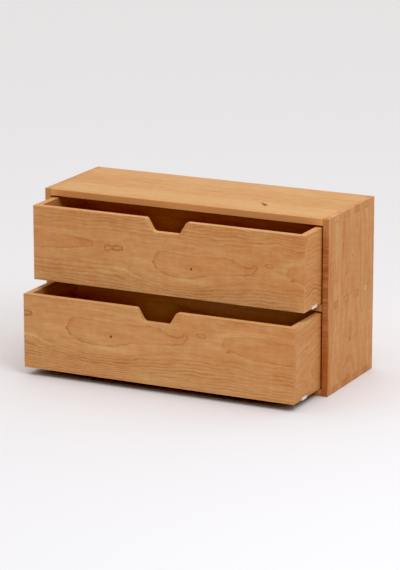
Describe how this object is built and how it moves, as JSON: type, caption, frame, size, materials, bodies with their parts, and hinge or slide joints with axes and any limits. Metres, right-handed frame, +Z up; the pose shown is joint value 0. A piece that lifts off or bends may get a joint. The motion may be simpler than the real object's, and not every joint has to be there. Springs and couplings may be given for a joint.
{
  "type": "mini drawer cabinet",
  "caption": "Tabletop cabinet in solid cherry: finger-jointed case with through-tenoned divider and inset drawers, each with a finger notch in its front.",
  "frame": {"origin": "centre of the carcass underside, on the surface it stands on", "axes": "+X along the cabinet's width to the right as seen from the front, +Y from the front to the back, +Z up"},
  "size_m": [0.55, 0.306, 0.314],
  "materials": {
    "cherry_case": "oiled solid cherry, sanded smooth, satin",
    "cherry_drawer": "oiled solid cherry, sanded smooth, satin",
    "plywood": "cherry-faced plywood, oiled, matt",
    "nylon": "moulded white nylon"
  },
  "bodies": {
    "carcass": {"left_side_panel": "cherry_case", "right_side_panel": "cherry_case", "bottom_panel": "cherry_case", "divider_panel": "cherry_case", "top_panel": "cherry_case", "back_panel": "plywood"},
    "lower_drawer": {"lower_drawer_front": "cherry_drawer", "lower_drawer_left_side": "cherry_drawer", "lower_drawer_right_side": "cherry_drawer", "lower_drawer_back": "cherry_drawer", "lower_drawer_base": "plywood", "lower_drawer_glide_front_left": "nylon", "lower_drawer_glide_front_right": "nylon", "lower_drawer_glide_rear_left": "nylon", "lower_drawer_glide_rear_right": "nylon"},
    "upper_drawer": {"upper_drawer_front": "cherry_drawer", "upper_drawer_left_side": "cherry_drawer", "upper_drawer_right_side": "cherry_drawer", "upper_drawer_back": "cherry_drawer", "upper_drawer_base": "plywood", "upper_drawer_glide_front_left": "nylon", "upper_drawer_glide_front_right": "nylon", "upper_drawer_glide_rear_left": "nylon", "upper_drawer_glide_rear_right": "nylon"}
  },
  "joints": [
    {"name": "lower_drawer_slide", "type": "slide", "parent": "carcass", "child": "lower_drawer", "axis": [0, -1, 0], "range_m": [-0.108, 0.022]},
    {"name": "upper_drawer_slide", "type": "slide", "parent": "carcass", "child": "upper_drawer", "axis": [0, -1, 0], "range_m": [-0.069, 0.061]}
  ]
}
